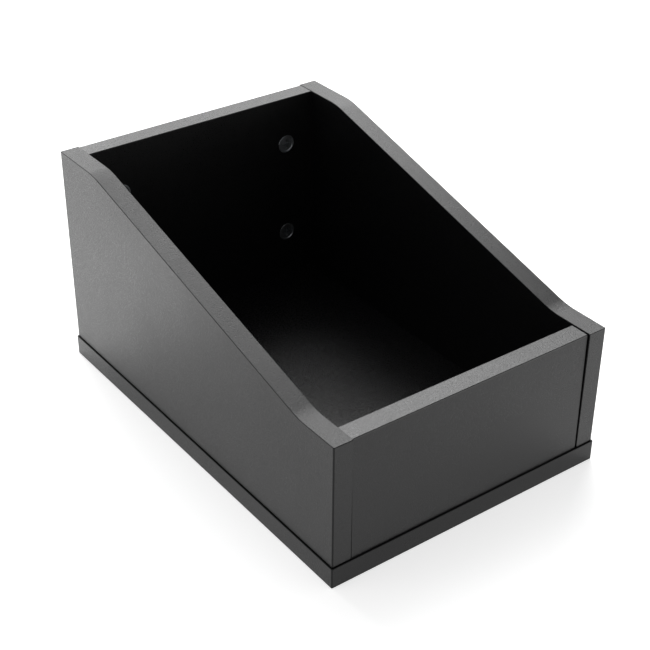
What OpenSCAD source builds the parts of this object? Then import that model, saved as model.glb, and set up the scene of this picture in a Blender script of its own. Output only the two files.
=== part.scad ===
// Open-topped record box with sloping side panels, built from faced boards.
// Frame: +X to the right seen from the front, +Y to the rear, +Z up.
// Origin: middle of the underside of the base.

/* [Body] */
// Outer width across the two side panels
body_w = 230; // [215:1:345]
// Depth of a side panel from front to rear
body_d = 336; // [280:1:420]
// Height of a side panel at the rear, above the base
rear_h = 160; // [140:1:200]
// Height of a side panel at the front, above the base
front_h = 95; // [85:1:115]
// Length of the level top edge at the rear, to the middle of the bend
rear_flat = 49; // [30:1:80]
// Length of the level top edge at the front, to the middle of the bend
front_flat = 37; // [30:1:60]
// Radius of the two bends in the top edge of a side panel
bend_r = 60; // [20:5:100]

/* [Boards] */
// Thickness of the four upright boards
board_t = 15; // [15:0.5:18]
// Thickness of the base
base_t = 16; // [15:0.5:18]
// Thickness of the edge bands
band_t = 1; // [0.6:0.1:1.2]
// How far the base stands out past the body all round
base_lip = 1; // [0.5:0.5:4]
// Radius of the base's upper and lower outer edges
base_edge_r = 0.8; // [0.2:0.1:1]
// Set-back of the front board's middle from the front ends of the side panels
front_recess = 0.75; // [0.5:0.25:6]
// Set-back of the rear board from the rear ends of the side panels
rear_recess = 1; // [0:0.25:6]
// Drop of the front and rear boards' top edges below the side panels' tops
panel_drop = 0.3; // [0:0.1:2]
// Chamfer round the foot of the side panels, which leaves a shadow line above the base
foot_chamfer = 0.8; // [0.2:0.1:0.9]
// Play left at the front board's left-hand end
front_play_left = 0.5; // [0:0.1:0.8]
// Play left at the front board's right-hand end
front_play_right = 1.3; // [0:0.1:1.5]
// How far the top of the front board leans back behind its foot
front_lean = 0.9; // [0:0.1:1]

/* [Cam fittings] */
// Diameter of the hole that a cam turns in
cam_bore_d = 15; // [15:0.5:16]
// Height of a cam
cam_h = 12.5; // [12:0.5:13]
// Distance of a cam's axis from the inner face of the side panel
cam_back = 24.5; // [24:0.5:34]
// Height of the front cams above the base, as a share of the front height
front_cam_at = 0.5; // [0.45:0.05:0.55]
// Heights of the rear cams above the base, as shares of the rear height
rear_cams_at = [0.25, 0.75];
// Diameter of a cam bolt's head
bolt_head_d = 6.6; // [6:0.1:7]

/* [Dowels and screws] */
// Diameter of a wooden dowel
dowel_d = 8; // [6:1:8]
// Length of a wooden dowel
dowel_l = 30; // [26:1:32]
// Length of a base screw
screw_l = 40; // [30:5:45]
// Diameter of a base screw's thread
screw_d = 4; // [3.5:0.5:4.5]
// Diameter of a base screw's head
screw_head_d = 8; // [7:0.5:9]

/* [Hidden] */
$fn = 96;

// Colours
board_black = "#2b2b2c";
band_black = "#37373a";
zinc = "#b9bcc0";
screw_black = "#26262a";
beech = "#c9a877";

// Overall places
inner_x = body_w / 2 - board_t;
front_x0 = -inner_x + front_play_left;
front_x1 = inner_x - front_play_right;
front_y = -body_d / 2;
rear_y = body_d / 2;
front_out_y = front_y + front_recess;
front_in_y = front_out_y + board_t;
rear_out_y = rear_y - rear_recess;
rear_in_y = rear_out_y - board_t;
front_mid_y = (front_out_y + front_in_y) / 2;
rear_mid_y = (rear_out_y + rear_in_y) / 2;
floor_z = base_t;
front_board_h = front_h - panel_drop;
rear_board_h = rear_h - panel_drop;
foot_cut_w = foot_chamfer * sqrt(2);

// Slope of the top edge
slope_run = body_d - rear_flat - front_flat;
slope_a = atan2(rear_h - front_h, slope_run);
bend_tangent = bend_r * tan(slope_a / 2);
rear_bend_y = rear_y - rear_flat + bend_tangent;
front_bend_y = front_y + front_flat - bend_tangent;
bend_steps = 10;

// Joinery: a gap for each running fit, and how deep each hole goes
run_gap = 0.05;
cut = 0.5;
cam_r = cam_bore_d / 2 - run_gap;
cam_bore_depth = cam_h + 0.3;
bolt_from_top = board_t / 2;
bolt_head_t = 2.6;
bolt_head_x = 1.2;
bolt_neck_r = 2.2;
bolt_shank_r = 3.5;
bolt_shank_x = 9.5;
bolt_thread_r = 2.5;
bolt_thread_l = 11;
bolt_hole_r = 4;
cam_hollow_r = 5.9;
cam_hollow_off = 0.6;
cam_hollow_h = bolt_head_d + 0.6;
cam_slot_h = 2 * bolt_neck_r + 0.6;
cam_turn = 180;
cam_slot_margin = 34;
cam_cross_w = 1.6;
cam_cross_l = 8;
cam_cross_depth = 2.4;
dowel_in_side = 11;
dowel_gap = 0.05;
dowel_chamfer = 1;
dowel_end_play = 0.5;
screw_sink = 0.3;
screw_head_h = (screw_head_d - screw_d) / 2;
screw_gap = 0.05;
screw_cross_w = 1;
screw_cross_l = 4.6;
screw_cross_depth = 1.5;

front_cam_z = floor_z + front_h * front_cam_at;
rear_cam_zs = [for (share = rear_cams_at) floor_z + rear_h * share];
front_dowel_zs = [floor_z + 20, floor_z + front_h - 20];
rear_dowel_zs = [floor_z + 18, floor_z + rear_h - 18];
side_screw_ys = [-120, 0, 120] * (body_d / 336);
panel_screw_x = body_w / 2 - 65;
cam_x = inner_x - cam_back;

// Spots that the base screws stand at: three under each side panel, two under each end board
screw_spots = concat(
    [for (side = [-1, 1], y = side_screw_ys) [side * (inner_x + board_t / 2), y]],
    [for (side = [-1, 1], y = [front_mid_y, rear_mid_y]) [side * panel_screw_x, y]]
);

// Points along an arc in the plane, from angle a0 to angle a1
function arc(centre, r, a0, a1) =
    [for (i = [0:bend_steps]) let (a = a0 + (a1 - a0) * i / bend_steps) centre + r * [cos(a), sin(a)]];

// Top edge of a side panel from the rear to the front, lowered by k all along.
// The plane is Y across and height above the base upwards.
function top_edge(k) = concat(
    [[rear_y, rear_h - k]],
    arc([rear_bend_y, rear_h - bend_r], bend_r - k, 90, 90 + slope_a),
    arc([front_bend_y, front_h + bend_r], bend_r + k, 270 + slope_a, 270),
    [[front_y, front_h - k]]
);

function backwards(points) = [for (i = [len(points) - 1:-1:0]) points[i]];

// Turns a drawing in the Y-Z plane into a slab that starts at x and runs towards +X
module slab_x(x, t) {
    translate([x, 0, 0]) rotate([90, 0, 90]) linear_extrude(height = t) children();
}

// Level hole or rod along X, from x0 to x1
module along_x(x0, x1, y, z, r) {
    translate([min(x0, x1), y, z]) rotate([0, 90, 0]) cylinder(r = r, h = abs(x1 - x0));
}

// Stands its children on the right or on the left side panel's side
module on_side(side) {
    if (side > 0) children();
    else mirror([1, 0, 0]) children();
}

// Holes that the dowels and the cam bolts of one end board need, for the right-hand side
module end_joint_holes(mid_y, cam_zs, dowel_zs) {
    for (z = dowel_zs) {
        along_x(inner_x + dowel_in_side, inner_x - (dowel_l - dowel_in_side) - dowel_end_play,
                mid_y, z, dowel_d / 2 + dowel_gap);
    }
    for (z = cam_zs) {
        along_x(inner_x, cam_x, mid_y, z, bolt_hole_r);
        along_x(inner_x - cut, inner_x + bolt_thread_l, mid_y, z, bolt_thread_r + run_gap);
    }
}

module screw_holes() {
    for (spot = screw_spots) {
        translate([spot[0], spot[1], -cut]) {
            cylinder(r = screw_d / 2 + screw_gap, h = screw_l + cut + screw_sink + cut);
            cylinder(r = screw_head_d / 2 + screw_gap, h = screw_sink + cut);
            translate([0, 0, screw_sink + cut])
                cylinder(r1 = screw_head_d / 2 + screw_gap, r2 = screw_d / 2 + screw_gap, h = screw_head_h);
        }
    }
}

// Bar that cuts the foot chamfer along X, on a face of the body at y
module foot_cut_x(y) {
    translate([0, y, floor_z]) rotate([45, 0, 0])
        cube([body_w + 2 * cut, foot_cut_w, foot_cut_w], center = true);
}

// Bar that cuts the foot chamfer along Y, on the outer face of a side panel
module foot_cut_y(side) {
    translate([side * body_w / 2, 0, floor_z]) rotate([0, 45, 0])
        cube([foot_cut_w, body_d + 2 * cut, foot_cut_w], center = true);
}

// Faced board of one side panel, with the bands left off
module side_board(side) {
    difference() {
        on_side(side) difference() {
            translate([0, 0, floor_z]) slab_x(inner_x, board_t) intersection() {
                polygon(concat(top_edge(band_t), [[front_y, 0], [rear_y, 0]]));
                translate([front_y + band_t, 0]) square([body_d - 2 * band_t, rear_h]);
            }
            end_joint_holes(front_mid_y, [front_cam_z], front_dowel_zs);
            end_joint_holes(rear_mid_y, rear_cam_zs, rear_dowel_zs);
        }
        screw_holes();
        foot_cut_y(side);
    }
}

// Band along the bent top edge of a side panel
module side_top_band(side) {
    on_side(side) translate([0, 0, floor_z]) slab_x(inner_x, board_t)
        polygon(concat(top_edge(0), backwards(top_edge(band_t))));
}

// Upright band on the front or rear edge of a side panel, with its outer face at out_y
module side_end_band(side, out_y, height) {
    difference() {
        on_side(side) translate([inner_x, min(out_y, out_y - sign(out_y) * band_t), floor_z])
            cube([board_t, band_t, height - band_t]);
        foot_cut_x(out_y);
        foot_cut_y(side);
    }
}

// Front or rear board from x0 to x1 between the side panels, with its holes.
// Its top stands back towards +Y behind its foot by lean, half of it each way from the middle.
module end_board(x0, x1, lean, out_y, in_y, height, mid_y, cam_zs, dowel_zs) {
    board_h = height - band_t;
    foot_y = min(out_y, in_y) - lean / 2;
    top_y = foot_y + lean;
    difference() {
        translate([0, 0, floor_z]) slab_x(x0, x1 - x0)
            polygon([[foot_y, 0], [foot_y + board_t, 0], [top_y + board_t, board_h], [top_y, board_h]]);
        for (side = [-1, 1]) on_side(side) {
            end_joint_holes(mid_y, cam_zs, dowel_zs);
            for (z = cam_zs) {
                translate([cam_x, in_y, z]) rotate([in_y > out_y ? 90 : -90, 0, 0])
                    translate([0, 0, -cut]) cylinder(d = cam_bore_d, h = cam_bore_depth + cut);
            }
        }
        screw_holes();
    }
}

// Band along the straight top edge of the front or rear board
module end_top_band(x0, x1, lean, out_y, in_y, height) {
    translate([x0, min(out_y, in_y) + lean / 2, floor_z + height - band_t])
        cube([x1 - x0, board_t, band_t]);
}

// Section of a base band: its width stands for the lip, its outer edges are rounded
module base_band_section() {
    r = min(base_edge_r, base_lip);
    translate([0, r]) square([base_lip, base_t - 2 * r]);
    if (base_lip > r) square([base_lip - r, base_t]);
    for (z = [r, base_t - r]) intersection() {
        translate([base_lip - r, z]) circle(r = r, $fn = 32);
        square([base_lip, base_t]);
    }
}

// Base band on the right (side > 0) or on the left
module base_side_band(side) {
    on_side(side) translate([body_w / 2, rear_y, 0]) rotate([90, 0, 0])
        linear_extrude(height = body_d) base_band_section();
}

// Base band across the rear (side > 0) or the front, covering the ends of the side bands
module base_end_band(side) {
    long = body_w + 2 * base_lip;
    rotate([0, 0, side > 0 ? 0 : 180]) translate([-long / 2, rear_y, 0])
        rotate([90, 0, 90]) linear_extrude(height = long) base_band_section();
}

// Dowel with chamfered ends, lying along X from the right-hand side panel inwards
module dowel(mid_y, z) {
    translate([inner_x + dowel_in_side, mid_y, z]) rotate([0, -90, 0]) {
        cylinder(r1 = dowel_d / 2 - dowel_chamfer, r2 = dowel_d / 2, h = dowel_chamfer);
        translate([0, 0, dowel_chamfer]) cylinder(d = dowel_d, h = dowel_l - 2 * dowel_chamfer);
        translate([0, 0, dowel_l - dowel_chamfer])
            cylinder(r1 = dowel_d / 2, r2 = dowel_d / 2 - dowel_chamfer, h = dowel_chamfer);
    }
}

// Bolt that is screwed into the side panel and hooks into the cam
module cam_bolt(mid_y, z) {
    along_x(cam_x + bolt_head_x, cam_x + bolt_head_x + bolt_head_t, mid_y, z, bolt_head_d / 2);
    along_x(cam_x + bolt_head_x, cam_x + bolt_shank_x, mid_y, z, bolt_neck_r);
    along_x(cam_x + bolt_shank_x, inner_x, mid_y, z, bolt_shank_r);
    along_x(inner_x, inner_x + bolt_thread_l, mid_y, z, bolt_thread_r);
}

// Pie slice in the plane, from angle a0 to angle a1
module slice(r, a0, a1) {
    steps = 12;
    rim = [for (i = [0:steps]) let (a = a0 + (a1 - a0) * i / steps) r * [cos(a), sin(a)]];
    polygon(concat([[0, 0]], rim));
}

// Cross recess for a screwdriver, cut downwards from z = 0
module cross_recess(width, long, depth) {
    for (a = [0, 90]) rotate([0, 0, a])
        translate([-long / 2, -width / 2, -depth]) cube([long, width, depth + cut]);
}

// Cam standing on its blind end, locked, with its bolt coming from +X.
// The head rides in an off-centre hollow, the neck in a slot round half the wall,
// and a head-sized mouth lets the bolt in at the open end of the slot.
module cam() {
    slot_r = cam_bore_d;
    mid = cam_h - bolt_from_top;
    difference() {
        cylinder(r = cam_r, h = cam_h);
        translate([-cam_hollow_off, 0, mid - cam_hollow_h / 2]) cylinder(r = cam_hollow_r, h = cam_hollow_h);
        translate([0, 0, mid - cam_slot_h / 2]) linear_extrude(height = cam_slot_h)
            slice(slot_r, cam_slot_margin, -cam_turn - cam_slot_margin);
        translate([-cam_bore_d, -cam_hollow_h / 2, mid - cam_hollow_h / 2])
            cube([cam_bore_d, cam_hollow_h, cam_hollow_h]);
        translate([0, 0, cam_h]) cross_recess(cam_cross_w, cam_cross_l, cam_cross_depth);
    }
}

// Cam in its place, turned so that its bolt side faces the side panel.
// Seen from inside the box every cam opens anticlockwise.
module placed_cam(side, in_y, out_y, z) {
    to_inside = in_y > out_y ? -90 : 90;
    flip = (side > 0) ? 0 : 180;
    translate([side * cam_x, in_y, z]) rotate([to_inside, 0, 0]) translate([0, 0, -cam_h])
        rotate([0, 0, flip]) cam();
}

module base_board() {
    color(board_black) difference() {
        translate([-body_w / 2, front_y, 0]) cube([body_w, body_d, base_t]);
        screw_holes();
    }
}

module base_front_band() { color(band_black) base_end_band(-1); }
module base_rear_band() { color(band_black) base_end_band(1); }
module base_left_band() { color(band_black) base_side_band(-1); }
module base_right_band() { color(band_black) base_side_band(1); }

module left_side_board() { color(board_black) side_board(-1); }
module left_top_band() { color(band_black) side_top_band(-1); }
module left_front_band() { color(band_black) side_end_band(-1, front_y, front_h); }
module left_rear_band() { color(band_black) side_end_band(-1, rear_y, rear_h); }

module right_side_board() { color(board_black) side_board(1); }
module right_top_band() { color(band_black) side_top_band(1); }
module right_front_band() { color(band_black) side_end_band(1, front_y, front_h); }
module right_rear_band() { color(band_black) side_end_band(1, rear_y, rear_h); }

module front_board() {
    color(board_black) end_board(front_x0, front_x1, front_lean, front_out_y, front_in_y,
                                 front_board_h, front_mid_y, [front_cam_z], front_dowel_zs);
}

module front_top_band() {
    color(band_black) end_top_band(front_x0, front_x1, front_lean, front_out_y, front_in_y, front_board_h);
}

module rear_board() {
    color(board_black) end_board(-inner_x, inner_x, 0, rear_out_y, rear_in_y,
                                 rear_board_h, rear_mid_y, rear_cam_zs, rear_dowel_zs);
}

module rear_top_band() {
    color(band_black) end_top_band(-inner_x, inner_x, 0, rear_out_y, rear_in_y, rear_board_h);
}

module front_dowels() {
    color(beech) for (side = [-1, 1], z = front_dowel_zs) on_side(side) dowel(front_mid_y, z);
}

module rear_dowels() {
    color(beech) for (side = [-1, 1], z = rear_dowel_zs) on_side(side) dowel(rear_mid_y, z);
}

module front_cam_bolts() {
    color(zinc) for (side = [-1, 1]) on_side(side) cam_bolt(front_mid_y, front_cam_z);
}

module rear_cam_bolts() {
    color(zinc) for (side = [-1, 1], z = rear_cam_zs) on_side(side) cam_bolt(rear_mid_y, z);
}

module base_screws() {
    color(screw_black) for (spot = screw_spots) translate([spot[0], spot[1], screw_sink]) difference() {
        union() {
            cylinder(r1 = screw_head_d / 2, r2 = screw_d / 2, h = screw_head_h);
            cylinder(d = screw_d, h = screw_l);
        }
        rotate([180, 0, 0]) cross_recess(screw_cross_w, screw_cross_l, screw_cross_depth);
    }
}

module front_left_cam() { color(zinc) placed_cam(-1, front_in_y, front_out_y, front_cam_z); }
module front_right_cam() { color(zinc) placed_cam(1, front_in_y, front_out_y, front_cam_z); }
module rear_left_lower_cam() { color(zinc) placed_cam(-1, rear_in_y, rear_out_y, rear_cam_zs[0]); }
module rear_left_upper_cam() { color(zinc) placed_cam(-1, rear_in_y, rear_out_y, rear_cam_zs[1]); }
module rear_right_lower_cam() { color(zinc) placed_cam(1, rear_in_y, rear_out_y, rear_cam_zs[0]); }
module rear_right_upper_cam() { color(zinc) placed_cam(1, rear_in_y, rear_out_y, rear_cam_zs[1]); }

base_board();
base_front_band();
base_rear_band();
base_left_band();
base_right_band();
left_side_board();
left_top_band();
left_front_band();
left_rear_band();
right_side_board();
right_top_band();
right_front_band();
right_rear_band();
front_board();
front_top_band();
rear_board();
rear_top_band();
front_dowels();
rear_dowels();
front_cam_bolts();
rear_cam_bolts();
base_screws();
front_left_cam();
front_right_cam();
rear_left_lower_cam();
rear_left_upper_cam();
rear_right_lower_cam();
rear_right_upper_cam();
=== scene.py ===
import math

import bmesh
import bpy
from mathutils import Matrix, Vector


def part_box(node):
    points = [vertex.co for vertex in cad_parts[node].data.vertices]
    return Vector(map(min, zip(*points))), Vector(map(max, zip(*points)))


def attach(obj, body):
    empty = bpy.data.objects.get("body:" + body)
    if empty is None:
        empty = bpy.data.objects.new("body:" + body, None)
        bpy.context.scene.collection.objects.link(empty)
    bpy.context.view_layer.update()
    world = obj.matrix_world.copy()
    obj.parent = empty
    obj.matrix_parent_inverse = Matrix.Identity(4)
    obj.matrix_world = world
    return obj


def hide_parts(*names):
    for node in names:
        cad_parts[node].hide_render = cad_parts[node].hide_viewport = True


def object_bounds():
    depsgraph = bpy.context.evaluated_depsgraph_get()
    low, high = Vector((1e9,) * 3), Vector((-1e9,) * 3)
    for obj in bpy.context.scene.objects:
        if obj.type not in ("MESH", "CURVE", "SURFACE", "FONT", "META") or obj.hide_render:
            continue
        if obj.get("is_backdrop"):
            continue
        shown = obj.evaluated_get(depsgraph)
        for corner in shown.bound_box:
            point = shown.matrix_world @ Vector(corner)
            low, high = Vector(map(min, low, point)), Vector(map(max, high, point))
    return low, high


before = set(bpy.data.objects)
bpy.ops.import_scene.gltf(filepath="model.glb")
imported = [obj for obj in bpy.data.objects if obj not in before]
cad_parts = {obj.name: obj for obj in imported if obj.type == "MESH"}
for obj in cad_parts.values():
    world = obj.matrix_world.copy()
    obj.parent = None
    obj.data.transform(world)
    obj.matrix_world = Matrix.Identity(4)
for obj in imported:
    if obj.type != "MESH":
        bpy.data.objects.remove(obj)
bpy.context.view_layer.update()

mm = 0.001

# ---------------------------------------------------------------------------
# Camera. A short telephoto above the front left corner, looking down into the
# open box, as a product photographer stands for a three-quarter view.
camera_place = Vector((-527.2, -712.4, 630.4)) * mm
camera_turn_deg = (57.67, -0.40, -36.39)
camera_focal_px = 1432.9
camera_near = 10 * mm
photo_width_px = 650
sensor_width_mm = 36

bpy.ops.object.camera_add(location=camera_place, rotation=[math.radians(a) for a in camera_turn_deg])
camera = bpy.context.object
camera.data.sensor_width = sensor_width_mm
camera.data.lens = sensor_width_mm * camera_focal_px / photo_width_px
camera.data.clip_start = camera_near
bpy.context.scene.camera = camera
bpy.context.scene.view_settings.view_transform = "Standard"

# ---------------------------------------------------------------------------
# Floor and surroundings. A sweep of matt white paper, which the camera and the
# box's sheen both see as clean white, with the box's own soft shadow on it. Behind
# the box the paper carries a painted pool of light, which only the sheen sees.
paper_white = "#f2f2f2"
paper_glow = 0.60           # lift that the camera and the box's sheen see on the paper
painted_pool_glow = 0.90            # painted pool of light behind the box, seen only in the box's sheen, standing in for a background lamp's pool
painted_pool_start = 90 * mm        # the painted pool sets in here, measured along Y
painted_pool_full = 250 * mm
floor_half_size = 6000 * mm
world_fill = 0.40           # soft light from all round
backdrop_white = 1.0        # what the camera sees past the paper, and the sheen near the horizon
backdrop_top = 0.05         # steepness above the horizon up to which the sheen sees the backdrop
ceiling_from = 0.30         # and from which it sees the ceiling
ceiling_grey = 0.35         # what the box's sheen sees between the softboxes
softbox_distance = 2200 * mm
softbox_side = 1100 * mm


def linear(hex_colour):
    """A #rrggbb colour as the linear red, green, blue and alpha that sockets take."""
    parts = [int(hex_colour[i:i + 2], 16) / 255 for i in (1, 3, 5)]
    return [c / 12.92 if c <= 0.04045 else ((c + 0.055) / 1.055) ** 2.4 for c in parts] + [1.0]


def node(tree, kind, inputs=None, **settings):
    """Adds one shader node. A value in inputs is a number, a colour or another node's output."""
    made = tree.nodes.new(kind)
    for key, value in settings.items():
        setattr(made, key, value)
    for socket, value in (inputs or {}).items():
        if isinstance(value, bpy.types.NodeSocket):
            tree.links.new(value, made.inputs[socket])
        else:
            made.inputs[socket].default_value = value
    return made


def empty_material(name):
    """A material with nothing in it but its output node."""
    material = bpy.data.materials.new(name)
    material.use_nodes = True
    material.node_tree.nodes.clear()
    output = material.node_tree.nodes.new("ShaderNodeOutputMaterial")
    return material, material.node_tree, output


def seen_directly(tree):
    """1 where a ray comes from the camera, or off a glossy or through a clear surface."""
    path = node(tree, "ShaderNodeLightPath").outputs
    sheen = node(tree, "ShaderNodeMath", {0: path["Is Camera Ray"], 1: path["Is Glossy Ray"]},
                 operation="MAXIMUM")
    return node(tree, "ShaderNodeMath", {0: sheen.outputs[0], 1: path["Is Transmission Ray"]},
                operation="MAXIMUM").outputs[0]


def paper_floor():
    """Matt white paper, lifted where it is seen directly, with a painted pool of light behind the box that
    only glossy rays see.
    """
    material, tree, output = empty_material("matt_white_paper")
    paper = node(tree, "ShaderNodeBsdfDiffuse", {"Color": linear(paper_white)})
    place = node(tree, "ShaderNodeTexCoord").outputs["Object"]
    across = node(tree, "ShaderNodeSeparateXYZ", {0: place}).outputs["Y"]
    # Painted pool of light: the paper's lift rises along Y behind the box, for glossy rays only
    pool = node(tree, "ShaderNodeMapRange",
                {"Value": across, "From Min": painted_pool_start, "From Max": painted_pool_full, "To Max": painted_pool_glow},
                interpolation_type="SMOOTHSTEP").outputs[0]
    sheen = node(tree, "ShaderNodeLightPath").outputs["Is Glossy Ray"]
    lift = node(tree, "ShaderNodeMath", {0: pool, 1: sheen, 2: paper_glow}, operation="MULTIPLY_ADD")
    glow = node(tree, "ShaderNodeMath", {0: seen_directly(tree), 1: lift.outputs[0]}, operation="MULTIPLY")
    light = node(tree, "ShaderNodeEmission", {"Color": linear("#ffffff"), "Strength": glow.outputs[0]})
    both = node(tree, "ShaderNodeAddShader", {0: paper.outputs[0], 1: light.outputs[0]})
    tree.links.new(both.outputs[0], output.inputs["Surface"])
    return material


def softbox(name, towards, watts):
    """One square softbox in a direction from the box, facing it."""
    away = Vector(towards).normalized()
    bpy.ops.object.light_add(type="AREA", location=away * softbox_distance,
                             rotation=away.to_track_quat("Z", "Y").to_euler())
    lamp = bpy.context.object
    lamp.name = name
    lamp.data.shape = "SQUARE"
    lamp.data.size = softbox_side
    lamp.data.energy = watts


bpy.ops.mesh.primitive_plane_add(size=2 * floor_half_size, location=(0, 0, 0))
floor = bpy.context.object
floor.name = "paper_floor"
floor.data.materials.append(paper_floor())
floor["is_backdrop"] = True

world = bpy.data.worlds.new("white_studio")
bpy.context.scene.world = world
world.use_nodes = True
world.node_tree.nodes.clear()
sky = world.node_tree
skywards = node(sky, "ShaderNodeTexCoord").outputs["Generated"]
up = node(sky, "ShaderNodeSeparateXYZ", {0: skywards}).outputs["Z"]
studio = node(sky, "ShaderNodeMapRange",
              {"Value": up, "From Min": backdrop_top, "From Max": ceiling_from,
               "To Min": backdrop_white, "To Max": ceiling_grey}).outputs[0]
camera_ray = node(sky, "ShaderNodeLightPath").outputs["Is Camera Ray"]
seen = node(sky, "ShaderNodeMapRange", {"Value": camera_ray, "To Min": studio, "To Max": backdrop_white})
level = node(sky, "ShaderNodeMapRange",
             {"Value": seen_directly(sky), "To Min": world_fill, "To Max": seen.outputs[0]})
world_light = node(sky, "ShaderNodeBackground", {"Color": linear("#ffffff"), "Strength": level.outputs[0]})
node(sky, "ShaderNodeOutputWorld", {"Surface": world_light.outputs[0]})

softbox("softbox_rear_right_high", (0.50, 0.48, 0.72), 15.5)
softbox("softbox_rear_right_low", (0.50, 0.75, 0.45), 6.0)
softbox("softbox_rear", (0.05, 0.90, 0.42), 21.0)
softbox("softbox_above", (0.20, 0.38, 0.90), 9.0)
softbox("softbox_left", (-0.75, 0.20, 0.62), 3.0)

# ---------------------------------------------------------------------------
# Boards. 15 mm wood-based boards and a 16 mm base, pressed on both sides with black
# melamine paper, sawn to size and bored for the fittings. The press plate leaves a
# matt face with a fine pearl, which spreads the sheen and breaks it up a little.
melamine_black = "#0b0b0c"
melamine_black_light = "#0e0e0f"
floor_black = "#040404"     # the base is cut from a sheet with a coarser, more broken pearl
floor_black_light = "#131315"
pearl_size = 0.9 * mm       # the real pearl is about 0.3 mm, drawn as coarse as it needs to show
cloud_size = 60 * mm        # slow drift of the press plate's gloss
cloud_drift = 0.02          # and how far it moves the roughness each way
noise_low = 0.3             # nearly all of a noise texture lies between these two
noise_high = 0.7


def grained_black(name, dark, light, grain_size, roughness, grain_depth, gloss, speckle):
    """Matt black skin of a board or band: a fine grain in tone, gloss and height over a slow cloud."""
    material, tree, output = empty_material(name)
    place = node(tree, "ShaderNodeTexCoord").outputs["Object"]
    grain = node(tree, "ShaderNodeTexNoise",
                 {"Vector": place, "Scale": 1 / grain_size, "Detail": 3.0, "Roughness": 0.6}).outputs["Fac"]
    cloud = node(tree, "ShaderNodeTexNoise",
                 {"Vector": place, "Scale": 1 / cloud_size, "Detail": 2.0}).outputs["Fac"]
    pit = node(tree, "ShaderNodeMapRange",
               {"Value": grain, "From Min": noise_low, "From Max": noise_high}).outputs[0]
    tone = node(tree, "ShaderNodeMix", {"Factor": pit, 6: linear(dark), 7: linear(light)}, data_type="RGBA")
    drift = node(tree, "ShaderNodeMapRange",
                 {"Value": cloud, "From Min": noise_low, "From Max": noise_high,
                  "To Min": roughness - speckle - cloud_drift,
                  "To Max": roughness - speckle + cloud_drift}).outputs[0]
    sheen = node(tree, "ShaderNodeMath", {0: pit, 1: 2 * speckle, 2: drift}, operation="MULTIPLY_ADD")
    bump = node(tree, "ShaderNodeBump", {"Height": grain, "Strength": 1.0, "Distance": grain_depth})
    shader = node(tree, "ShaderNodeBsdfPrincipled",
                  {"Base Color": tone.outputs[2], "Roughness": sheen.outputs[0], "IOR": 1.5,
                   "Specular IOR Level": gloss, "Normal": bump.outputs["Normal"]})
    tree.links.new(shader.outputs[0], output.inputs["Surface"])
    return material


def dress(piece, *materials):
    """Gives a piece these materials in place of those it has."""
    piece.data.materials.clear()
    for material in materials:
        piece.data.materials.append(material)


# The side panels come from one sheet, the front and rear boards from another and the base from a third.
for sheet, gloss, boards in (("side", 0.34, ("left_side_board", "right_side_board")),
                             ("end", 0.38, ("front_board", "rear_board"))):
    facing = grained_black(f"black_melamine_{sheet}_facing", melamine_black, melamine_black_light, pearl_size,
                           roughness=0.36, grain_depth=0.15 * mm, gloss=gloss, speckle=0.12)
    for board in boards:
        dress(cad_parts[board], facing)

floor_facing = grained_black("black_melamine_base_facing", floor_black, floor_black_light, pearl_size,
                             roughness=0.29, grain_depth=0.24 * mm, gloss=0.27, speckle=0.14)
dress(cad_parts["base_board"], floor_facing)

# ---------------------------------------------------------------------------
# Base bands. Strips of 1 mm black plastic, glued round the edges of the base board.
# The front and rear ones cover the ends of the other two. The outer arrises are eased
# and the upright corners trimmed round, which leaves both duller than the flats.
corner_radius = 0.9 * mm
arris_radius = 0.4 * mm
arris_segments = 4
sharp_edge = math.radians(60)       # faces that meet at more than this make an arris
smooth_below = math.radians(40)     # and those that meet at less are shaded as one curve
band_black = "#0b0b0c"
band_black_light = "#101011"
band_grain_size = 1.0 * mm  # the real grain is about 0.4 mm, drawn as coarse as it needs to show


def open_primitive(name, *materials):
    """Names and dresses the primitive just added, applies its place and size, and enters edit mode."""
    piece = bpy.context.object
    piece.name = name
    dress(piece, *materials)
    bpy.ops.object.transform_apply(location=True, rotation=True, scale=True)
    bpy.ops.object.mode_set(mode="EDIT")
    return piece


def start_box(name, low, high, *materials):
    """A box between two corners, left in edit mode."""
    bpy.ops.object.select_all(action="DESELECT")
    bpy.ops.mesh.primitive_cube_add(size=1, location=(low + high) / 2, scale=high - low)
    return open_primitive(name, *materials)


def select_parts(piece, kind, wanted):
    """Selects each VERT, EDGE or FACE of the piece for which wanted(part) is true, in edit mode."""
    bpy.ops.mesh.select_mode(type=kind)
    bpy.ops.mesh.select_all(action="DESELECT")
    shape = bmesh.from_edit_mesh(piece.data)
    for part in {"VERT": shape.verts, "EDGE": shape.edges, "FACE": shape.faces}[kind]:
        part.select_set(wanted(part))
    bmesh.update_edit_mesh(piece.data)


def round_arrises(piece, radius, wanted):
    """Rounds the sharp edges between faces whose normals a and b satisfy wanted(a, b), in the piece's
    second material. A box's normals lie along the axes, so 0.5 tells whether a face looks one way."""
    select_parts(piece, "EDGE",
                 lambda edge: len(edge.link_faces) == 2 and edge.calc_face_angle(0) > sharp_edge
                 and wanted(*[face.normal for face in edge.link_faces]))
    bpy.ops.mesh.bevel(offset=radius, segments=arris_segments, affect="EDGES", material=1)


def finish_piece(piece, body, replaced):
    """Leaves edit mode, shades the flats flat and the arrises round, and enters the piece."""
    bpy.ops.object.mode_set(mode="OBJECT")
    bpy.ops.object.shade_smooth_by_angle(angle=smooth_below)
    bpy.ops.object.modifier_add(type="WEIGHTED_NORMAL")
    piece.modifiers[-1].keep_sharp = True
    bpy.ops.object.modifier_apply(modifier=piece.modifiers[-1].name)
    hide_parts(replaced)
    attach(piece, body)


def edge_band(name, gloss):
    """Black ABS band. Each roll has a slightly different gloss."""
    return grained_black(name, band_black, band_black_light, band_grain_size,
                         roughness=0.32, grain_depth=0.19 * mm, gloss=gloss, speckle=0.08)


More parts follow.
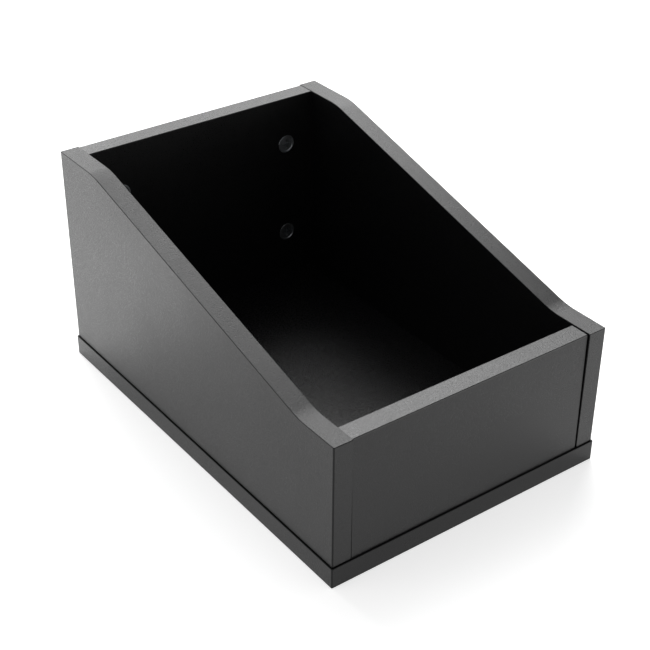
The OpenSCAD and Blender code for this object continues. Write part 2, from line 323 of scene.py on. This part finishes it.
trimmed_arris = grained_black("trimmed_band_arris", band_black, band_black_light, band_grain_size,
                              roughness=0.50, grain_depth=0.03 * mm, gloss=0.22, speckle=0.03)
base_band = edge_band("black_abs_base_band", gloss=0.25)

for side, outer in (("left", -1), ("right", 1)):
    strip = start_box(f"base_{side}_edge_band", *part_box(f"base_{side}_band"), base_band, trimmed_arris)
    round_arrises(strip, arris_radius,
                  lambda a, b: max(a.x * outer, b.x * outer) > 0.5 and abs(a.z) + abs(b.z) > 0.5)
    finish_piece(strip, "box", f"base_{side}_band")

for end, outward in (("front", -1), ("rear", 1)):
    strip = start_box(f"base_{end}_edge_band", *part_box(f"base_{end}_band"), base_band, trimmed_arris)
    round_arrises(strip, corner_radius,
                  lambda a, b: abs(a.z) + abs(b.z) < 0.5 and max(a.y * outward, b.y * outward) > 0.5)
    round_arrises(strip, arris_radius,
                  lambda a, b: abs(a.z) + abs(b.z) > 0.5 and min(a.y * outward, b.y * outward) > -0.5)
    finish_piece(strip, "box", f"base_{end}_band")

# ---------------------------------------------------------------------------
# Upright bands on the front and rear edges of the side panels. The same plastic,
# 15 mm wide, put on before the top band and trimmed flush under it. The corner on
# the box's outside and the foot are trimmed round, and the inner arris is eased.
side_band = edge_band("black_abs_side_band", gloss=0.38)

for side, outer in (("left", -1), ("right", 1)):
    for end, outward in (("front", -1), ("rear", 1)):
        strip = start_box(f"{side}_{end}_edge_band", *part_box(f"{side}_{end}_band"),
                          side_band, trimmed_arris)
        round_arrises(strip, corner_radius,
                      lambda a, b: max(a.y * outward, b.y * outward) > 0.5
                      and (max(a.x * outer, b.x * outer) > 0.5 or min(a.z, b.z) < -0.5))
        round_arrises(strip, arris_radius,
                      lambda a, b: max(a.y * outward, b.y * outward) > 0.5
                      and min(a.x * outer, b.x * outer) < -0.5)
        finish_piece(strip, "box", f"{side}_{end}_band")

# ---------------------------------------------------------------------------
# Top bands of the side panels. One strip of the same plastic each, heated and laid
# along the rear flat, down the slope and along the front flat, round a bend between
# each. Its ends run over the upright bands and are trimmed with them.
rear_flat = 49 * mm
front_flat = 37 * mm
bend_radius = 60 * mm
bend_steps = 10
band_thickness = 1 * mm
merge_within = 0.01 * mm


def sweep_top_band(name, low, high, front_top, *materials):
    """Makes the rear flat, and draws its front end on round both bends to the front."""
    slope = math.atan2(high.z - front_top, high.y - low.y - rear_flat - front_flat)
    tangent = bend_radius * math.tan(slope / 2)
    rear_bend = Vector((0, high.y - rear_flat + tangent, high.z - bend_radius))
    front_bend = Vector((0, low.y + front_flat - tangent, front_top + bend_radius))
    along_slope = Vector((0, -math.cos(slope), -math.sin(slope)))
    slope_start = Vector((0, high.y - rear_flat, high.z)) + along_slope * tangent
    slope_end = Vector((0, low.y + front_flat, front_top)) - along_slope * tangent

    piece = start_box(name, Vector((low.x, rear_bend.y, high.z - band_thickness)), high, *materials)
    select_parts(piece, "FACE", lambda face: face.normal.y < -0.5)
    bpy.ops.mesh.delete(type="ONLY_FACE")
    select_parts(piece, "EDGE", lambda edge: edge.is_boundary)
    for centre, angle, run in ((rear_bend, -slope, slope_end - slope_start),
                               (front_bend, slope, Vector((0, low.y - front_bend.y, 0)))):
        bpy.ops.mesh.spin(steps=bend_steps, angle=angle, center=centre, axis=(1, 0, 0))
        bpy.ops.mesh.extrude_edges_move(TRANSFORM_OT_translate={"value": run})
    bpy.ops.mesh.edge_face_add()
    bpy.ops.mesh.select_all(action="SELECT")
    bpy.ops.mesh.remove_doubles(threshold=merge_within)
    bpy.ops.mesh.normals_make_consistent(inside=False)
    return piece


for side, outer, gloss in (("left", -1, 0.37), ("right", 1, 0.50)):
    low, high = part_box(f"{side}_top_band")
    front_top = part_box(f"{side}_front_band")[1].z + band_thickness
    strip = sweep_top_band(f"{side}_top_edge_band", low, high, front_top,
                           edge_band(f"black_abs_{side}_top_band", gloss), trimmed_arris)
    round_arrises(strip, corner_radius,
                  lambda a, b: abs(a.z) + abs(b.z) < 0.5 and max(a.x * outer, b.x * outer) > 0.5)
    round_arrises(strip, arris_radius, lambda a, b: max(a.z, b.z) > 0.5)
    finish_piece(strip, "box", f"{side}_top_band")

# ---------------------------------------------------------------------------
# Top bands of the front and rear boards. Straight strips of the same plastic, with
# both long arrises eased. The front one is left long enough at its left-hand end to
# close the play there, so that the two tops meet.
cross_band = edge_band("black_abs_cross_band", gloss=0.59)
left_panel_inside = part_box("left_front_band")[1].x

for end in ("front", "rear"):
    low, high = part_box(f"{end}_top_band")
    low.x = left_panel_inside
    strip = start_box(f"{end}_top_edge_band", low, high, cross_band, trimmed_arris)
    round_arrises(strip, arris_radius, lambda a, b: max(a.z, b.z) > 0.5 and abs(a.y) + abs(b.y) > 0.5)
    finish_piece(strip, "box", f"{end}_top_band")

# ---------------------------------------------------------------------------
# Dowels. Beech, turned along the X axis, that place the front and rear boards in the
# side panels. Fine darker flecks run along the grain.
beech_pale = "#cfae86"
beech_dark = "#b48f66"
beech_fleck = "#8e683f"
beech_roughness = (0.55, 0.70)
fibre_long = 14 * mm
fibre_wide = 0.7 * mm
fibre_depth = 0.03 * mm
fleck_long = 2.0 * mm
fleck_wide = 0.35 * mm
fleck_from = 0.60           # noise above this starts a fleck, and above the next is all fleck
fleck_full = 0.72


def along_grain(tree, place, long, wide, detail):
    """Noise drawn out along X to streaks of about this length and width."""
    stretched = node(tree, "ShaderNodeVectorMath", {0: place, 1: (1 / long, 1 / wide, 1 / wide)},
                     operation="MULTIPLY")
    return node(tree, "ShaderNodeTexNoise",
                {"Vector": stretched.outputs[0], "Scale": 1.0, "Detail": detail}).outputs["Fac"]


def turned_beech():
    """Plain turned beech, in two tones with darker flecks."""
    material, tree, output = empty_material("turned_beech")
    place = node(tree, "ShaderNodeTexCoord").outputs["Object"]
    fibre = along_grain(tree, place, fibre_long, fibre_wide, 4.0)
    fleck = along_grain(tree, place, fleck_long, fleck_wide, 1.0)
    wood = node(tree, "ShaderNodeMix", {"Factor": fibre, 6: linear(beech_pale), 7: linear(beech_dark)},
                data_type="RGBA")
    flecked = node(tree, "ShaderNodeMapRange",
                   {"Value": fleck, "From Min": fleck_from, "From Max": fleck_full})
    tone = node(tree, "ShaderNodeMix",
                {"Factor": flecked.outputs[0], 6: wood.outputs[2], 7: linear(beech_fleck)}, data_type="RGBA")
    bump = node(tree, "ShaderNodeBump", {"Height": fibre, "Strength": 1.0, "Distance": fibre_depth})
    gloss = node(tree, "ShaderNodeMapRange",
                 {"Value": fibre, "To Min": beech_roughness[0], "To Max": beech_roughness[1]})
    shader = node(tree, "ShaderNodeBsdfPrincipled",
                  {"Base Color": tone.outputs[2], "Roughness": gloss.outputs[0],
                   "Normal": bump.outputs["Normal"]})
    tree.links.new(shader.outputs[0], output.inputs["Surface"])
    return material


beech = turned_beech()
for name in ("front_dowels", "rear_dowels"):
    dress(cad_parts[name], beech)

# ---------------------------------------------------------------------------
# Cam bolts. Turned steel with bright zinc plating, which lie along the X axis with
# their threads in the side panels. Fine rings from turning run round them.
zinc_plate = "#c3c8cd"
zinc_plate_dull = "#a7adb4"
patch_drift = 0.06          # how far the patches move a metal's roughness each way
wave_pitch = 0.31           # pitch of a wave texture at scale 1
ring_pitch = 0.5 * mm
ring_depth = 0.02 * mm
ring_wobble = 0.4


def metal(name, bright, dull, patch_size, roughness, bump_height=None, bump_depth=0.01 * mm):
    """A bare or plated metal whose tone and gloss drift over patches of about this size."""
    material, tree, output = empty_material(name)
    place = node(tree, "ShaderNodeTexCoord").outputs["Object"]
    patch = node(tree, "ShaderNodeTexNoise",
                 {"Vector": place, "Scale": 1 / patch_size, "Detail": 5.0}).outputs["Fac"]
    tone = node(tree, "ShaderNodeMix", {"Factor": patch, 6: linear(bright), 7: linear(dull)},
                data_type="RGBA")
    gloss = node(tree, "ShaderNodeMapRange",
                 {"Value": patch, "From Min": noise_low, "From Max": noise_high,
                  "To Min": roughness - patch_drift, "To Max": roughness + patch_drift})
    height = bump_height(tree, place) if bump_height else patch
    bump = node(tree, "ShaderNodeBump", {"Height": height, "Strength": 1.0, "Distance": bump_depth})
    shader = node(tree, "ShaderNodeBsdfPrincipled",
                  {"Base Color": tone.outputs[2], "Metallic": 1.0, "Roughness": gloss.outputs[0],
                   "Normal": bump.outputs["Normal"]})
    tree.links.new(shader.outputs[0], output.inputs["Surface"])
    return material


def turning_rings(tree, place):
    """Rings round the X axis, a little uneven."""
    return node(tree, "ShaderNodeTexWave",
                {"Vector": place, "Scale": wave_pitch / ring_pitch, "Distortion": ring_wobble},
                wave_type="BANDS", bands_direction="X").outputs["Fac"]


bright_zinc = metal("bright_zinc_plated_steel", zinc_plate, zinc_plate_dull, patch_size=4 * mm,
                    roughness=0.30, bump_height=turning_rings, bump_depth=ring_depth)
for name in ("front_cam_bolts", "rear_cam_bolts"):
    dress(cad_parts[name], bright_zinc)

# ---------------------------------------------------------------------------
# Base screws. Countersunk chipboard screws in black phosphated steel, whose dull
# crystalline skin is a little uneven. Only their heads show, under the base.
phosphate_black = "#222326"
phosphate_grey = "#34363a"

dress(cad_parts["base_screws"],
      metal("black_phosphated_steel", phosphate_grey, phosphate_black, patch_size=1.2 * mm, roughness=0.52))

# ---------------------------------------------------------------------------
# Cams. Zinc die castings, one for each cam bolt, with a chamfered rim, a dished face
# with a cross recess and a pointer towards the mouth, and the hollow, slot and mouth
# that take the bolt's head. One is modelled locked, then copied into the six holes.
cam_radius = 7.45 * mm
cam_height = 12.5 * mm
cam_facets = 64
cam_rim = 1.2 * mm
cam_dish = 0.4 * mm
cam_dish_slope = 0.3 * mm
cam_chamfer = 0.35 * mm
cam_chamfer_segments = 3
chamfer_beyond = 7 * mm     # edges further out than this get the chamfer
cam_mid = -7.5 * mm         # the bolt's axis, below the cam's face
hollow_radius = 5.9 * mm
hollow_aside = -0.6 * mm
hollow_height = 7.2 * mm
slot_height = 5.0 * mm
slot_edge_deg = 34          # how far past half the cam the slot is cut at each end
recess_long = 8.0 * mm
recess_wide = 1.6 * mm
recess_deep = 2.4 * mm
recess_taper = 0.7          # its floor's share of its opening
cut_past = 0.5 * mm
pointer_radius = 0.8 * mm
pointer_at = 5.2 * mm
pointer_low = 0.6 * cam_dish        # depth of its middle below the cam's face
cast_zinc_bright = "#b9bcbf"
cast_zinc_dull = "#8b8f93"
cast_grain_size = 0.5 * mm
cast_grain_depth = 0.03 * mm


def cast_grain(tree, place):
    """The fine orange-peel skin of a die casting."""
    return node(tree, "ShaderNodeTexNoise",
                {"Vector": place, "Scale": 1 / cast_grain_size, "Detail": 3.0}).outputs["Fac"]


def pick(piece):
    """Selects this object alone and makes it the active one."""
    bpy.ops.object.select_all(action="DESELECT")
    piece.select_set(True)
    bpy.context.view_layer.objects.active = piece


def combine(piece, other, operation="DIFFERENCE"):
    """Takes the other shape out of the piece, or joins it on, and removes it."""
    bpy.ops.object.mode_set(mode="OBJECT")
    pick(piece)
    bpy.ops.object.modifier_add(type="BOOLEAN")
    piece.modifiers[-1].operation = operation
    piece.modifiers[-1].solver = "EXACT"
    piece.modifiers[-1].object = other
    bpy.ops.object.modifier_apply(modifier=piece.modifiers[-1].name)
    bpy.data.objects.remove(other)


def start_disc(name, radius, height, centre, facets, *materials):
    """A disc along Z, left in edit mode."""
    bpy.ops.object.select_all(action="DESELECT")
    bpy.ops.mesh.primitive_cylinder_add(vertices=facets, radius=radius, depth=height, location=centre)
    return open_primitive(name, *materials)


def slot_cutter():
    """The slot that the bolt's neck runs in over half a turn: all towards -Y, and a little past it."""
    wide = 2 * cam_radius
    rise = wide * math.tan(math.radians(slot_edge_deg))
    slot = start_box("slot", Vector((-wide, -wide, cam_mid - slot_height / 2)),
                     Vector((wide, rise, cam_mid + slot_height / 2)))

    def is_far_edge(edge):
        ends = [vert.co for vert in edge.verts]
        return min(end.y for end in ends) > 0 and abs(ends[0].x - ends[1].x) > wide

    select_parts(slot, "EDGE", is_far_edge)
    bpy.ops.mesh.subdivide(number_cuts=1)
    select_parts(slot, "VERT", lambda vert: abs(vert.co.x) < wide / 2)
    bpy.ops.transform.translate(value=(0, -rise, 0))
    return slot


def model_cam():
    """One cam with its face at z = 0, its body below and its bolt coming from +X."""
    cam = start_disc("cam", cam_radius, cam_height, (0, 0, -cam_height / 2), cam_facets, cast_zinc)
    select_parts(cam, "FACE", lambda face: face.normal.z > 0.9)
    bpy.ops.mesh.inset(thickness=cam_rim)
    bpy.ops.mesh.inset(thickness=cam_dish_slope, depth=-cam_dish)
    select_parts(cam, "EDGE", lambda edge: edge.calc_face_angle(0) > sharp_edge
                 and edge.verts[0].co.xy.length > chamfer_beyond)
    bpy.ops.mesh.bevel(offset=cam_chamfer, segments=cam_chamfer_segments, affect="EDGES")
    bpy.ops.object.mode_set(mode="OBJECT")

    combine(cam, start_disc("hollow", hollow_radius, hollow_height, (hollow_aside, 0, cam_mid), cam_facets))
    combine(cam, slot_cutter())
    half = hollow_height / 2
    combine(cam, start_box("mouth", Vector((-2 * cam_radius, -half, cam_mid - half)),
                           Vector((0, half, cam_mid + half))))

    along_x = Vector((recess_long / 2, recess_wide / 2, 0))
    for arm_half in (along_x, along_x.yxz):
        arm = start_box("recess_arm", -arm_half - Vector((0, 0, recess_deep)),
                        arm_half + Vector((0, 0, cut_past)))
        select_parts(arm, "FACE", lambda face: face.normal.z < -0.9)
        bpy.ops.transform.resize(value=(recess_taper, recess_taper, 1), center_override=(0, 0, -recess_deep))
        combine(cam, arm)

    pointer = start_disc("pointer", pointer_radius, cam_dish, (0, 0, -pointer_low), 3)
    bpy.ops.transform.rotate(value=math.radians(90), orient_axis="Z", center_override=(0, 0, 0))
    bpy.ops.transform.translate(value=(-pointer_at, 0, 0))
    combine(cam, pointer, "UNION")
    return cam


cast_zinc = metal("die_cast_zinc", cast_zinc_bright, cast_zinc_dull, patch_size=5 * mm,
                  roughness=0.40, bump_height=cast_grain, bump_depth=cast_grain_depth)
first_cam = model_cam()
for name in ("front_left_cam", "front_right_cam", "rear_left_lower_cam", "rear_left_upper_cam",
             "rear_right_lower_cam", "rear_right_upper_cam"):
    low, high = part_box(name)
    middle = (low + high) / 2
    front = middle.y < 0
    face_y = high.y if front else low.y
    turned = Matrix.Rotation(math.radians(-90 if front else 90), 4, "X")
    flipped = Matrix.Rotation(math.radians(0 if middle.x > 0 else 180), 4, "Z")
    pick(first_cam)
    bpy.ops.object.duplicate()
    cam = bpy.context.object
    cam.name = f"{name}_casting"
    cam.matrix_world = Matrix.Translation((middle.x, face_y, middle.z)) @ turned @ flipped
    bpy.ops.object.transform_apply(location=True, rotation=True, scale=True)
    finish_piece(cam, "cam_" + name.removesuffix("_cam"), name)
bpy.data.objects.remove(first_cam)

low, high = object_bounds()
